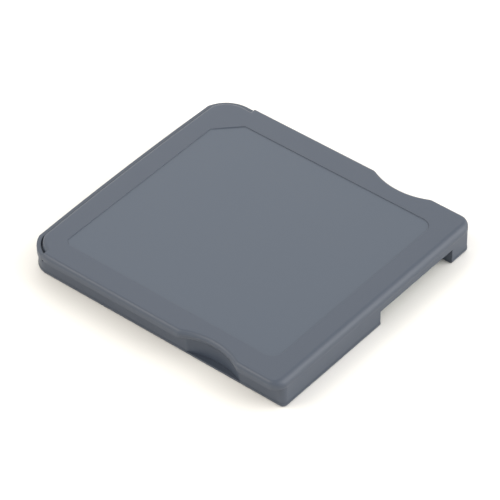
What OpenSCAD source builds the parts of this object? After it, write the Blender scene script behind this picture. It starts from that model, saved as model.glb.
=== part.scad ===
// Flash cartridge for a handheld games machine: a flat card of two moulded shells
// around a circuit board with edge contacts and a push-in memory card socket.
// It lies with its label face up. +Y points to the outer end, which has the memory
// card slot, and -Y to the contact end, which goes into the machine first.
// The origin is in the middle of the rear face.

/* [Card] */
// Width over the front shell's flanges
card_w = 33; // [31:0.5:36]
// Length from the contact end to the outer end
card_l = 35; // [34:0.5:40]
// Thickness over both shells
card_t = 3.8; // [3.7:0.1:4.6]
// Corner radius in plan at the contact end
contact_corner_r = 3.8; // [3.3:0.1:4.2]
// How far the contact end bows out between its corners
end_bow = 0.3; // [0.1:0.05:0.4]
// Corner radius in plan at the outer end
outer_corner_r = 1.3; // [0.8:0.1:2.2]

/* [Front shell] */
// Thickness of the flange that runs round the front shell
flange_t = 1.0; // [0.8:0.05:1.2]
// Fillet on the top edge of the front shell
edge_fillet = 0.45; // [0.2:0.05:0.6]
// Wall left under the label area
face_wall = 0.55; // [0.4:0.05:0.7]
// Width of the lip that reaches down inside the rear shell
lip_w = 0.6; // [0.4:0.05:0.8]

/* [Label area] */
// Depth of the sunk label area
label_depth = 0.2; // [0.1:0.02:0.3]
// Border left of the label area
label_left = 3.2; // [2.4:0.05:4]
// Border right of the label area
label_right = 2.95; // [2.4:0.05:4]
// Border between the label area and the contact end
label_contact = 3.4; // [3:0.1:5]
// Border between the label area and the outer end
label_outer = 2.9; // [2.4:0.1:5]
// Bevelled corner of the label area
label_bevel = 2.7; // [1.5:0.1:4]
// Small cut at the next corner of the label area
label_nick = 0.6; // [0.3:0.1:1.2]
// Radius of the two label corners at the outer end
label_corner_r = 1.4; // [0.6:0.1:2.4]

/* [Finger notches] */
// Distance of the notches' middle from the outer end
notch_from_end = 9.45; // [8:0.05:12]
// Depth of each notch in the front shell
notch_depth = 1.0; // [0.6:0.05:1.3]
// Radius of the notches' hollow
notch_r = 8; // [6:0.5:12]
// Radius that blends each notch into the side
shoulder_r = 1.2; // [0.8:0.1:2]
// How much deeper the notch is in the rear shell
notch_undercut = 0.45; // [0.2:0.05:0.7]

/* [Rear shell] */
// How far the rear shell's right side stands back under the flange
side_inset = 0.95; // [0.7:0.05:1.2]
// How far the rear shell's left side stands back under the flange
left_inset = 0.65; // [0.5:0.05:0.9]
// How far the rear shell's outer end stands back
outer_inset = 0.08; // [0.05:0.01:0.3]
// How far the rear shell's contact end stands back below the rim
contact_inset = 0.08; // [0.04:0.01:0.2]
// Corner radius of the rear shell at the contact end
body_corner_r = 3; // [2.2:0.1:3.2]
// Corner radius of the rear shell at the outer end
body_outer_r = 0.6; // [0.3:0.05:0.9]
// Thickness of the rear floor
floor_t = 0.4; // [0.35:0.05:0.6]
// Thickness of the side walls
wall_t = 0.85; // [0.7:0.05:1]
// Height of the thin foot round the rear face
foot_h = 0.3; // [0.15:0.05:0.35]
// How far the foot stands out
foot_out = 0.08; // [0.03:0.01:0.1]
// Width of the shelf that carries the circuit board
shelf_w = 0.7; // [0.5:0.05:1]
// Width of the rim round the contact end
rim_w = 0.5; // [0.35:0.05:0.7]
// Gap between the rim and the front shell
rim_gap = 0.15; // [0.1:0.01:0.25]
// How far the rim reaches round the right corner, from the contact end
rim_right = 2.65; // [2.3:0.05:2.8]
// How far the rim reaches along the left side, from the contact end
rim_left = 4.8; // [4.3:0.1:6]
// How far the rim stays below the front face
rim_drop = 0.5; // [0.45:0.05:0.7]
// Thickness of the ledge that carries the rim
rim_ledge = 0.3; // [0.2:0.05:0.4]

/* [Edge contacts] */
// Number of edge contacts
contact_count = 17; // [11:2:17]
// Spacing of the edge contacts
contact_pitch = 1.5; // [1.4:0.05:1.55]
// Width of each contact
contact_w = 1.0; // [0.8:0.05:1.1]
// Length of each contact
contact_len = 4.4; // [3:0.1:5]
// Thickness of each contact's plating
contact_t = 0.05; // [0.03:0.01:0.08]

/* [Memory card slot] */
// Width of the opening in the outer end
slot_w = 12.45; // [12:0.05:12.8]
// Width of the wall that stays between the opening and the near corner
slot_side = 2.95; // [2.8:0.05:3.3]
// Height of the opening
slot_h = 2.0; // [1.8:0.05:2.2]
// How far the opening reaches into the card
slot_deep = 3.1; // [2.5:0.1:4]

/* [Memory card socket] */
// Width of the socket over its steel cover
socket_w = 13.2; // [13:0.1:13.4]
// Length of the socket
socket_l = 14.5; // [13.5:0.1:15]
// Height of the socket
socket_h = 1.25; // [1.2:0.05:1.4]
// Width left for the memory card
socket_gap_w = 11.1; // [11.05:0.05:11.4]
// Thickness of the cover's steel
cover_t = 0.15; // [0.12:0.01:0.2]
// Thickness of the socket's plastic bed
bed_t = 0.3; // [0.2:0.05:0.35]
// Number of contact springs
spring_count = 8; // [8]
// Spacing of the contact springs
spring_pitch = 1.1; // [1.05:0.05:1.15]
// Width of each contact spring
spring_w = 0.5; // [0.35:0.05:0.7]
// Width of the two windows in the steel cover below the springs
cover_window_w = 3.4; // [2.8:0.1:3.8]
// Length of those two windows
cover_window_l = 3; // [2:0.1:3.6]
// Depth of the finger recess in the steel cover's front edge
cover_bite = 1.8; // [1:0.1:2.4]
// Gap between the soldered feet along the steel cover's sides
cover_foot_gap = 2.1; // [1.6:0.1:2.6]

/* [Circuit board] */
// Thickness of the board
board_t = 0.6; // [0.5:0.05:0.7]
// Gap left round the board's edge
board_gap = 0.1; // [0.05:0.01:0.2]
// Diameter of the locating pins
pin_d = 1.2; // [1:0.05:1.4]
// Distance of the pins from the board's long edges
pin_edge = 2.0; // [1.8:0.1:2.5]
// Distance of the first pins from the board's contact end
pin_low = 7.2; // [6.9:0.1:9]
// Distance of the last pin from the board's outer end
pin_high = 2.1; // [1.8:0.1:3]

/* [Chips] */
// Side of the controller's square body
controller_side = 7; // [5:0.5:7]
// Height of the controller above the board
controller_h = 1.0; // [0.8:0.05:1.1]
// Leads along each side of the controller
controller_leads_side = 12; // [8:1:13]
// Spacing of the controller's leads
controller_pitch = 0.5; // [0.4:0.1:0.5]
// Length of the save memory's body
save_l = 4.9; // [3:0.1:5]
// Width of the save memory's body
save_w = 3.9; // [3:0.1:4.4]
// Height of the save memory above the board
save_h = 1.1; // [0.8:0.05:1.15]
// Length of the loader memory
loader_l = 6; // [5:0.1:8]
// Width of the loader memory
loader_w = 5; // [4:0.1:6]
// Height of the loader memory above the board
loader_h = 0.62; // [0.5:0.02:0.65]
// Length of the voltage regulator's body
regulator_l = 2.9; // [2.5:0.1:3.1]
// Width of the voltage regulator's body
regulator_w = 1.6; // [1.4:0.1:1.8]
// Height of the voltage regulator
regulator_h = 1.0; // [0.8:0.05:1.1]
// Length of the timing crystal
crystal_l = 2.5; // [2:0.1:3.2]
// Width of the timing crystal
crystal_w = 2.0; // [1.6:0.1:2.5]
// Height of the timing crystal
crystal_h = 0.55; // [0.45:0.05:0.65]
// Length of each capacitor and resistor
passive_l = 1.0; // [0.8:0.05:1.2]
// Width of each capacitor and resistor
passive_w = 0.5; // [0.3:0.05:0.6]
// Height of each capacitor
capacitor_h = 0.5; // [0.3:0.05:0.6]
// Height of each resistor
resistor_h = 0.35; // [0.25:0.05:0.45]

/* [Hidden] */
$fn = 48;

// Colours as the photo shows them, and as such parts have them
shell_colour = [0.40, 0.44, 0.50];
board_colour = [0.05, 0.25, 0.16];
gold_colour = [0.83, 0.66, 0.30];
steel_colour = [0.74, 0.75, 0.76];
tin_colour = [0.66, 0.67, 0.68];
bed_colour = [0.09, 0.09, 0.10];
chip_colour = [0.12, 0.12, 0.13];
ceramic_colour = [0.60, 0.48, 0.34];

// Radius that the foot's lower edge is rounded by
foot_round = 0.18;
// Small overlap that makes cuts run past a face
past = 0.2;
// Sliding clearance between the two shells
fit = 0.05;

half_w = card_w / 2;
end_y = card_l / 2;
parting_z = card_t - flange_t;
label_z = card_t - label_depth;
roof_z = label_z - face_wall;

// Radius and centre of the contact end's gentle bow, and its line in plan, drawn in by inset
bow_r = (pow(half_w, 2) + pow(end_bow, 2)) / (2 * end_bow);
bow_y = bow_r - end_y;
function bow_line(x, inset) = bow_y - sqrt(pow(bow_r - inset, 2) - pow(x, 2));

// Rear shell's plan
body_half_w = half_w - side_inset;
body_left_w = half_w - left_inset;
body_contact_y = -end_y + contact_inset;
body_outer_y = end_y - outer_inset;
room_half_w = body_half_w - wall_t;
room_contact_y = body_contact_y + wall_t;
room_outer_y = body_outer_y - wall_t;
room_corner_r = body_corner_r - wall_t;
rim_top = card_t - rim_drop;
rim_step = rim_w + rim_gap;
corner_y = -end_y + contact_corner_r;
// Where the front shell steps out to its full width on each side, just past the rim's ends
right_step = -end_y + rim_right + fit;
left_step = -end_y + rim_left + fit;

// Heights of the board and what it carries
socket_floor_gap = 0.05;
socket_z = floor_t + socket_floor_gap;
board_z = socket_z + socket_h;
board_top = board_z + board_t;

// Finger notches: the hollow's centre, and the blends beside it
notch_y = end_y - notch_from_end;
notch_cx = half_w + notch_r - notch_depth;
shoulder_dy = sqrt(pow(notch_r + shoulder_r, 2) - pow(notch_cx - half_w + shoulder_r, 2));
notch_angle = asin(shoulder_dy / (notch_r + shoulder_r));
rear_notch_r = notch_r + notch_undercut;
// Where the notch bites into the room for the board
notch_inner_x = notch_cx - rear_notch_r - wall_t;
notch_reach = shoulder_dy + wall_t;

// Board's plan
board_half_w = room_half_w - board_gap;
board_contact_y = room_contact_y + board_gap;
board_outer_y = room_outer_y - board_gap;
board_corner_r = room_corner_r;
board_notch_x = notch_inner_x - board_gap;
pin_x = board_half_w - pin_edge;
pin_places = [[-pin_x, board_contact_y + pin_low], [pin_x, board_contact_y + pin_low],
              [pin_x, board_outer_y - pin_high]];
pin_hole_d = pin_d + 2 * fit;
boss_d = pin_d + 1.2;
pin_tip_gap = 0.2;

// Where the contact windows end, and the solid strip behind them
comb_y = board_contact_y + contact_len + fit;
comb_low_end = comb_y + wall_t;

// Card socket's plan
slot_x = -body_left_w + slot_side + slot_w / 2;
slot_inner_y = body_outer_y - slot_deep;
socket_mouth_y = slot_inner_y - fit;
socket_back_y = socket_mouth_y - socket_l;
bed_w = socket_w - 2 * cover_t;
rail_w = (bed_w - socket_gap_w) / 2;
bed_back = 1.2;
card_room_h = socket_h - bed_t - cover_t;
funnel_out = 0.3;
funnel_l = 0.6;

// The steel cover's windows, finger recess and feet
cover_window_x = 2.6;
cover_window_y = 2.2;
cover_slit_w = 6;
cover_slit_l = 1.2;
cover_slit_from_mouth = 6;
cover_bite_r = 5;
cover_foot_h = 0.5;
cover_foot_l = (socket_l - 3 * cover_foot_gap) / 4;

// Contact springs: thickness, soldered tail, reach, flat root, bent toe and turned-up end
spring_t = 0.12;
spring_tail = 0.6;
spring_reach = 4.2;
spring_flat = 1;
spring_toe = 1;
spring_turn = 0.6;
spring_lift = 0.3;
spring_dip = 0.4;
spring_root_y = socket_back_y - spring_tail;
spring_tip_y = socket_back_y + spring_reach;

// Places of the chips: the room right of the card socket, and the strip behind the contacts
bay_left = slot_x + socket_w / 2;
bay_right = room_half_w - shelf_w;
part_gap = 0.6;
lead_out = 1.0;
lead_t = 0.12;
lead_w = 0.4;
controller_lead_w = 0.22;
regulator_lead_out = 0.6;
standoff = 0.08;
marker_d = 0.6;
marker_t = 0.05;
crystal_rim = 0.1;
loader_pad_l = 0.6;
loader_pad_w = 0.4;
loader_pad_out = 0.1;
controller_half = controller_side / 2 + lead_out;
controller_at = [(bay_left + bay_right) / 2,
                 board_outer_y - pin_high - boss_d / 2 - part_gap - controller_half];
strip_y = (comb_low_end + socket_back_y) / 2;
save_at = [bay_left + 5 * part_gap + save_l / 2, strip_y + save_w / 2];
regulator_at = [bay_left - part_gap - regulator_l / 2, strip_y + regulator_w];
crystal_at = [bay_right - part_gap - crystal_w / 2,
              controller_at[1] - controller_half - 2 * part_gap - crystal_l / 2];
loader_at = [0, strip_y + part_gap];
pad_d = 0.9;
pad_pitch = 1.6;
pad_count = 7;
pad_t = 0.04;
pad_row_y = board_contact_y + contact_len;

// Capacitors stand beside the controller, the crystal and the regulator: place and turn
passive_pitch = passive_l + 1.5 * part_gap;
row_out = part_gap + passive_w / 2;
capacitor_row_x = controller_at[0] - 1.5 * passive_pitch;
capacitor_places = concat(
    [for (i = [0 : 3]) [capacitor_row_x + i * passive_pitch,
                        controller_at[1] - controller_half - row_out, 0]],
    [for (i = [0 : 2]) [capacitor_row_x + i * passive_pitch,
                        controller_at[1] + controller_half + row_out, 0]],
    [for (s = [-1, 1]) [crystal_at[0] - crystal_w / 2 - row_out, crystal_at[1] + s * crystal_l / 4, 90]],
    [for (s = [-1, 1]) [regulator_at[0] - regulator_l / 2 - part_gap - passive_l / 2,
                        regulator_at[1] + s * part_gap, 0]]);
// Resistors stand in a row behind the contacts and in a short row behind the card socket
resistor_row_y = comb_low_end + part_gap + passive_l / 2;
resistor_places = concat(
    [for (i = [0 : 9]) [(i - 4.5) * passive_pitch, resistor_row_y, 90]],
    [for (i = [0 : 3]) [slot_x - i * 3 * passive_w, spring_root_y - part_gap - passive_l / 2, 90]]);

// Contact windows
window_w = contact_w + 2 * fit;
comb_half_w = (contact_count - 1) / 2 * contact_pitch + contact_pitch / 2 + 0.5;

// Shapes in plan

// A rectangle with one radius at its low end and one at its high end
module plan(half, low, high, low_r, high_r) {
    translate([-half, low + low_r])
        square([2 * half, high - low - low_r - high_r]);
    translate([-half + low_r, low])
        square([2 * (half - low_r), low_r * 1.5]);
    translate([-half + high_r, high - high_r * 1.5])
        square([2 * (half - high_r), high_r * 1.5]);
    for (s = [-1, 1]) {
        translate([s * (half - low_r), low + low_r]) circle(low_r);
        translate([s * (half - high_r), high - high_r]) circle(high_r);
    }
}

// Points of the rear shell's foot, drawn in by d and at height z

function foot_side(half, d) = concat(
    arc(half - body_corner_r, body_contact_y + body_corner_r,
        body_corner_r + foot_out - d, -90, 0, 12),
    arc(half - body_outer_r, body_outer_y - body_outer_r,
        body_outer_r + foot_out - d, 0, 90, 6));

function foot_ring(d, z) =
    bowed(concat(foot_side(body_half_w, d), mirrored(foot_side(body_left_w, d))),
          contact_inset - foot_out + d, z);

module foot() {
    steps = 3;
    round_edge = [for (i = [0 : steps])
        let (a = 90 * i / steps)
        [foot_round * (1 - sin(a)), foot_round * (1 - cos(a))]];
    beyond = 2 * round_edge[0] - round_edge[1];
    profile = concat([beyond], [for (i = [1 : steps]) round_edge[i]], [[0, foot_h + past]]);
    slab(0, foot_h)
        skin([for (q = profile) foot_ring(q[0], q[1])]);
}

// Trims a plan's contact end to the gentle bow, drawn in by inset
module bow_trim(inset) {
    intersection() {
        children();
        translate([0, bow_y]) circle(bow_r - inset, $fn = 1440);
    }
}

module body_plan() {
    bow_trim(contact_inset)
        for (shift = [0, body_half_w - body_left_w])
            translate([shift, 0])
                plan(body_half_w, body_contact_y, body_outer_y, body_corner_r, body_outer_r);
}

module room_plan() {
    plan(room_half_w, room_contact_y, room_outer_y, room_corner_r, fit);
}

module card_plan(inset) {
    bow_trim(inset)
        plan(half_w - inset, -end_y + inset, end_y - inset,
             contact_corner_r - inset, max(outer_corner_r - inset, 0.05));
}

// The hollow that a finger notch takes out of the rear shell's wall
module rear_notch_plan() {
    for (s = [-1, 1])
        translate([s * notch_cx, notch_y]) circle(rear_notch_r, $fn = 96);
}

// The sunk label area, with one bevelled corner, one nicked and two round
module label_plan() {
    left = -half_w + label_left;
    right = half_w - label_right;
    low = -end_y + label_contact;
    high = end_y - label_outer;
    r = label_corner_r;
    difference() {
        translate([left, low]) square([right - left, high - low]);
        translate([left, low]) rotate(45) square(label_bevel * sqrt(2), center = true);
        translate([right, low]) rotate(45) square(label_nick * sqrt(2), center = true);
        for (s = [-1, 1])
            translate([s > 0 ? right - r : left + r, high - r])
                difference() {
                    translate([s > 0 ? 0 : -r - past, 0]) square([r + past, r + past]);
                    circle(r);
                }
    }
}

// Points of the front shell's edge, drawn in by d and at height z

function arc(cx, cy, r, from, to, n) =
    [for (i = [0 : n]) let (a = from + (to - from) * i / n) [cx + r * cos(a), cy + r * sin(a)]];

// The right corner, where the shell steps out to its full width partway round
function right_corner(d) =
    let (inner_r = contact_corner_r - rim_step - d, outer_r = contact_corner_r - d,
         rise = right_step + d - corner_y)
    concat(arc(half_w - contact_corner_r, corner_y, inner_r, -90, asin(rise / inner_r), 9),
           arc(half_w - contact_corner_r, corner_y, outer_r, asin(rise / outer_r), 0, 3));

// The left corner, drawn on the right: the shell steps out past the corner, on the straight side
function left_corner(d) = concat(
    arc(half_w - contact_corner_r, corner_y, contact_corner_r - rim_step - d, -90, 0, 10),
    [[half_w - rim_step - d, left_step + d], [half_w - d, left_step + d]]);

function long_side(d) = concat(
    arc(half_w - shoulder_r, notch_y - shoulder_dy, shoulder_r - d, 0, notch_angle, 4),
    arc(notch_cx, notch_y, notch_r + d, 180 + notch_angle, 180 - notch_angle, 14),
    arc(half_w - shoulder_r, notch_y + shoulder_dy, shoulder_r - d, -notch_angle, 0, 4),
    arc(half_w - outer_corner_r, end_y - outer_corner_r, outer_corner_r - d, 0, 90, 7));

function mirrored(pts) = [for (i = [len(pts) - 1 : -1 : 0]) [-pts[i][0], pts[i][1]]];

// A ring at height z whose contact end follows the bow, drawn in by inset
function bowed(loop, inset, z) =
    let (from = loop[len(loop) - 1][0], to = loop[0][0], steps = 8,
         line = [for (i = [1 : steps - 1]) [from + (to - from) * i / steps, -card_l]])
    [for (p = concat(loop, line)) [p[0], max(p[1], bow_line(p[0], inset)), z]];

function edge_ring(d, z) =
    bowed(concat(right_corner(d), long_side(d), mirrored(concat(left_corner(d), long_side(d)))),
          rim_step + d, z);

// A solid through a stack of rings that all have as many points
module skin(rings) {
    n = len(rings[0]);
    last = len(rings) - 1;
    points = [for (ring = rings) for (p = ring) p];
    sides = [for (k = [0 : last - 1]) for (i = [0 : n - 1])
        let (j = (i + 1) % n)
        each [[k * n + i, (k + 1) * n + i, (k + 1) * n + j], [k * n + i, (k + 1) * n + j, k * n + j]]];
    floor_face = [[for (i = [0 : n - 1]) i]];
    roof_face = [[for (i = [n - 1 : -1 : 0]) last * n + i]];
    polyhedron(points, concat(floor_face, sides, roof_face), convexity = 6);
}

// Keeps what lies between two heights
module slab(low, high) {
    intersection() {
        children();
        translate([-card_w, -card_l, low]) cube([2 * card_w, 2 * card_l, high - low]);
    }
}

// The two shells

module face_plate() {
    // The rings run on past both flat faces, which a straight cut then makes
    steps = 5;
    fillet = [for (i = [0 : steps])
        let (a = 90 * i / steps)
        [edge_fillet * (1 - cos(a)), card_t - edge_fillet + edge_fillet * sin(a)]];
    beyond = 2 * fillet[steps] - fillet[steps - 1];
    profile = concat([[0, parting_z - past]], [for (i = [0 : steps - 1]) fillet[i]], [beyond]);
    slab(parting_z, card_t)
        skin([for (q = profile) edge_ring(q[0], q[1])]);
}

module lip_plan() {
    difference() {
        plan(room_half_w - fit, room_contact_y + fit, room_outer_y - fit, room_corner_r - fit, fit);
        plan(room_half_w - lip_w, room_contact_y + lip_w, room_outer_y - lip_w, room_corner_r - fit, fit);
        // Room for the thicker wall behind each finger notch
        for (s = [-1, 1])
            translate([s > 0 ? notch_inner_x - fit : fit - notch_inner_x - wall_t * 4,
                       notch_y - notch_reach - fit])
                square([wall_t * 4, 2 * (notch_reach + fit)]);
    }
}

module front_shell() {
    color(shell_colour) {
        difference() {
            face_plate();
            translate([0, 0, label_z]) linear_extrude(label_depth + past) label_plan();
            // Room over the board
            translate([0, 0, parting_z - past])
                linear_extrude(roof_z - parting_z + past)
                    intersection() {
                        plan(room_half_w - lip_w, room_contact_y + lip_w, room_outer_y - lip_w,
                             room_corner_r - fit, fit);
                        square([2 * (notch_inner_x - lip_w), card_l], center = true);
                    }
        }
        translate([0, 0, board_top]) linear_extrude(roof_z - board_top) lip_plan();
        for (p = pin_places)
            translate([p[0], p[1], floor_t + pin_tip_gap])
                cylinder(d = pin_d, h = roof_z + past - floor_t - pin_tip_gap);
    }
}

module contact_windows() {
    for (i = [0 : contact_count - 1])
        translate([(i - (contact_count - 1) / 2) * contact_pitch - window_w / 2, -end_y - past, -past])
            cube([window_w, comb_y + end_y + past, board_z + past]);
}

module rim() {
    // The ledge that carries the rim, and the rim itself
    intersection() {
        union() {
            translate([0, 0, parting_z - rim_ledge])
                linear_extrude(rim_ledge)
                    difference() {
                        card_plan(0);
                        room_plan();
                    }
            translate([0, 0, parting_z - rim_ledge])
                linear_extrude(rim_top - parting_z + rim_ledge)
                    difference() {
                        card_plan(0);
                        card_plan(rim_w);
                    }
        }
        union() {
            translate([0, -end_y, 0]) cube([half_w, rim_right, card_t]);
            translate([-half_w, -end_y, 0]) cube([half_w, rim_left, card_t]);
        }
    }
}

module rear_shell() {
    color(shell_colour) {
        difference() {
            union() {
                foot();
                translate([0, 0, foot_round]) linear_extrude(parting_z - foot_round) body_plan();
                rim();
            }
            // The room for the board and chips
            difference() {
                translate([0, 0, floor_t]) linear_extrude(card_t) room_plan();
                // Thicker wall behind each finger notch
                for (s = [-1, 1])
                    translate([s > 0 ? notch_inner_x : -notch_inner_x - wall_t * 4,
                               notch_y - notch_reach, 0])
                        cube([wall_t * 4, 2 * notch_reach, parting_z]);
                // Shelves for the board along both sides
                for (s = [-1, 1])
                    translate([s > 0 ? room_half_w - shelf_w : -room_half_w - past,
                               room_contact_y - past, 0])
                        cube([shelf_w + past, card_l, board_z]);
                // Ribs between the contacts
                translate([-comb_half_w, -end_y, 0])
                    cube([2 * comb_half_w, comb_low_end + end_y, board_z]);
                // Bosses for the pins
                for (p = pin_places)
                    translate([p[0], p[1], 0]) cylinder(d = boss_d, h = board_z);
                // Returns beside the memory card opening
                for (s = [-1, 1])
                    translate([slot_x + s * (slot_w + wall_t) / 2 - wall_t / 2, slot_inner_y, 0])
                        cube([wall_t, slot_deep, board_z]);
            }
            contact_windows();
            // Room for the memory card socket
            translate([slot_x - socket_w / 2 - fit, spring_root_y - fit, floor_t])
                cube([socket_w + 2 * fit, socket_mouth_y - spring_root_y + 2 * fit, board_z]);
            // Finger notches, down to the thin floor ledge
            translate([0, 0, floor_t]) linear_extrude(parting_z) rear_notch_plan();
            // Opening for the memory card
            translate([slot_x - slot_w / 2, slot_inner_y, -past])
                cube([slot_w, slot_deep + past, slot_h + past]);
            // Bores for the pins
            for (p = pin_places)
                translate([p[0], p[1], floor_t]) cylinder(d = pin_hole_d, h = board_z);
        }
    }
}

// The board and its printed metal

module board_plan() {
    difference() {
        plan(board_half_w, board_contact_y, board_outer_y, board_corner_r, 0.5);
        for (s = [-1, 1])
            translate([s > 0 ? board_notch_x : -board_notch_x - wall_t * 4,
                       notch_y - notch_reach - board_gap])
                square([wall_t * 4, 2 * (notch_reach + board_gap)]);
        for (p = pin_places) translate(p) circle(d = pin_hole_d);
    }
}

module circuit_board() {
    color(board_colour)
        translate([0, 0, board_z]) linear_extrude(board_t) board_plan();
}

module edge_contacts() {
    color(gold_colour)
        for (i = [0 : contact_count - 1])
            translate([(i - (contact_count - 1) / 2) * contact_pitch - contact_w / 2,
                       board_contact_y, board_z - contact_t])
                cube([contact_w, contact_len, contact_t]);
}

// Round pads on the board's front side, for testing
module test_pads() {
    color(gold_colour)
        for (i = [0 : pad_count - 1])
            translate([(i - (pad_count - 1) / 2) * pad_pitch, pad_row_y, board_top])
                cylinder(d = pad_d, h = pad_t);
}

// The memory card socket, which hangs under the board with its mouth at the slot

module spring_row() {
    for (i = [0 : spring_count - 1])
        translate([slot_x + (i - (spring_count - 1) / 2) * spring_pitch, 0, 0]) children();
}

module socket_bed() {
    low = socket_z + cover_t;
    color(bed_colour)
        difference() {
            translate([slot_x - bed_w / 2, socket_back_y, low])
                cube([bed_w, socket_l, board_z - low]);
            // Room for the memory card, open at the mouth
            translate([slot_x - socket_gap_w / 2, socket_back_y + bed_back, low - past])
                cube([socket_gap_w, socket_l, card_room_h + past]);
            // Slots for the springs
            spring_row()
                translate([-spring_w / 2 - fit, socket_back_y - past, board_z - bed_t - past])
                    cube([spring_w + 2 * fit, spring_tip_y - socket_back_y + past + bed_back,
                          bed_t + 2 * past]);
            spring_row()
                translate([-spring_w / 2 - fit, socket_back_y + bed_back - past * 2, low + card_room_h / 2])
                    cube([spring_w + 2 * fit, past * 3, card_room_h]);
            // Funnel at the mouth
            translate([slot_x, socket_mouth_y, low - past])
                linear_extrude(card_room_h + past)
                    polygon([[-socket_gap_w / 2 - funnel_out, past], [-socket_gap_w / 2, -funnel_l],
                             [socket_gap_w / 2, -funnel_l], [socket_gap_w / 2 + funnel_out, past]]);
        }
}

module socket_cover() {
    color(steel_colour)
        difference() {
            union() {
                translate([slot_x - socket_w / 2, socket_back_y, socket_z])
                    cube([socket_w, socket_l, cover_t]);
                for (s = [-1, 1])
                    translate([slot_x + s * (socket_w - cover_t) / 2 - cover_t / 2,
                               socket_back_y, socket_z])
                        cube([cover_t, socket_l, socket_h]);
            }
            // Two windows below the springs and one below the card's middle
            for (s = [-1, 1])
                translate([slot_x + s * cover_window_x - cover_window_w / 2,
                           socket_back_y + cover_window_y, socket_z - past])
                    cube([cover_window_w, cover_window_l, cover_t + 2 * past]);
            translate([slot_x - cover_slit_w / 2, socket_mouth_y - cover_slit_from_mouth,
                       socket_z - past])
                cube([cover_slit_w, cover_slit_l, cover_t + 2 * past]);
            // Finger recess in the mouth's edge
            translate([slot_x, socket_mouth_y + cover_bite_r - cover_bite, socket_z - past])
                cylinder(r = cover_bite_r, h = cover_t + 2 * past);
            // Gaps that leave four soldered feet on each side wall
            for (s = [-1, 1])
                for (k = [0 : 2])
                    translate([slot_x + s * (socket_w - cover_t) / 2 - cover_t,
                               socket_back_y + cover_foot_l + (cover_foot_l + cover_foot_gap) * k,
                               board_z - cover_foot_h])
                        cube([2 * cover_t, cover_foot_gap, cover_foot_h + past]);
        }
}

module socket_springs() {
    top = board_z;
    low = top - bed_t - spring_dip;
    color(gold_colour)
        spring_row()
            translate([-spring_w / 2, 0, 0])
                rotate([90, 0, 90])
                    linear_extrude(spring_w)
                        polygon([[spring_root_y, top], [spring_root_y, top - spring_t],
                                 [socket_back_y + spring_flat, top - spring_t],
                                 [spring_tip_y - spring_toe, low], [spring_tip_y - spring_turn, low],
                                 [spring_tip_y, low + spring_lift],
                                 [spring_tip_y - spring_t / 2, low + spring_lift + spring_t],
                                 [spring_tip_y - spring_turn - spring_t / 2, low + spring_t],
                                 [spring_tip_y - spring_toe + spring_t / 2, low + spring_t],
                                 [socket_back_y + spring_flat + spring_t, top]]);
}

// Chips: each body hangs under the board on its leads, or lies on top of it

// A bent lead that goes out along +X from the body's side and down to the board's face at z = 0
module bent_lead(from, reach, rise, w) {
    rotate([90, 0, 0])
        translate([0, 0, -w / 2])
            linear_extrude(w)
                polygon([[from, rise], [from + reach * 0.35, rise], [from + reach * 0.6, lead_t],
                         [from + reach, lead_t], [from + reach, 0], [from + reach * 0.45, 0],
                         [from + reach * 0.2, rise - lead_t], [from, rise - lead_t]]);
}

// Puts a piece drawn upward from z = 0 under the board
module under_board(at) {
    translate([at[0], at[1], board_z]) mirror([0, 0, 1]) children();
}

module chip_body(l, w, h) {
    difference() {
        translate([-l / 2, -w / 2, standoff]) cube([l, w, h - standoff]);
        translate([-l / 2 + marker_d * 1.4, -w / 2 + marker_d * 1.4, h - marker_t])
            cylinder(d = marker_d, h = past);
    }
}

module controller_body() {
    color(chip_colour)
        under_board(controller_at) chip_body(controller_side, controller_side, controller_h);
}

module controller_leads() {
    color(tin_colour)
        under_board(controller_at)
            for (side = [0 : 3])
                for (i = [0 : controller_leads_side - 1])
                    rotate(90 * side)
                        translate([0, (i - (controller_leads_side - 1) / 2) * controller_pitch, 0])
                            bent_lead(controller_side / 2, lead_out, controller_h * 0.55,
                                      controller_lead_w);
}

module save_memory_body() {
    color(chip_colour) under_board(save_at) chip_body(save_l, save_w, save_h);
}

module save_memory_leads() {
    color(tin_colour)
        under_board(save_at)
            for (side = [-1, 1])
                for (i = [0 : 3])
                    translate([(i - 1.5) * 1.27 * save_l / 5, 0, 0])
                        rotate(90 * side) bent_lead(save_w / 2, lead_out, save_h * 0.55, lead_w);
}

module loader_memory_body() {
    color(chip_colour)
        translate([loader_at[0], loader_at[1], board_top + pad_t])
            difference() {
                translate([-loader_l / 2, -loader_w / 2, 0])
                    cube([loader_l, loader_w, loader_h - pad_t]);
                translate([-loader_l / 2 + marker_d * 1.4, loader_w / 2 - marker_d * 1.4,
                           loader_h - pad_t - marker_t])
                    cylinder(d = marker_d, h = past);
            }
}

module loader_memory_pads() {
    color(tin_colour)
        for (side = [-1, 1])
            for (i = [0 : 3])
                translate([loader_at[0] + side * (loader_l / 2 + loader_pad_out - loader_pad_l / 2)
                           - loader_pad_l / 2,
                           loader_at[1] + (i - 1.5) * loader_w / 4.4 - loader_pad_w / 2, board_top])
                    cube([loader_pad_l, loader_pad_w, pad_t]);
}

module regulator_body() {
    color(chip_colour) under_board(regulator_at) chip_body(regulator_l, regulator_w, regulator_h);
}

module regulator_leads() {
    step = regulator_l * 0.33;
    rise = regulator_h * 0.55;
    color(tin_colour)
        under_board(regulator_at) {
            for (i = [-1 : 1])
                translate([i * step, 0, 0])
                    rotate(90) bent_lead(regulator_w / 2, regulator_lead_out, rise, lead_w);
            for (i = [-1, 1])
                translate([i * step, 0, 0])
                    rotate(-90) bent_lead(regulator_w / 2, regulator_lead_out, rise, lead_w);
        }
}

module crystal_base() {
    color(ceramic_colour)
        under_board(crystal_at)
            translate([-crystal_w / 2, -crystal_l / 2, 0]) cube([crystal_w, crystal_l, crystal_h * 0.6]);
}

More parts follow.
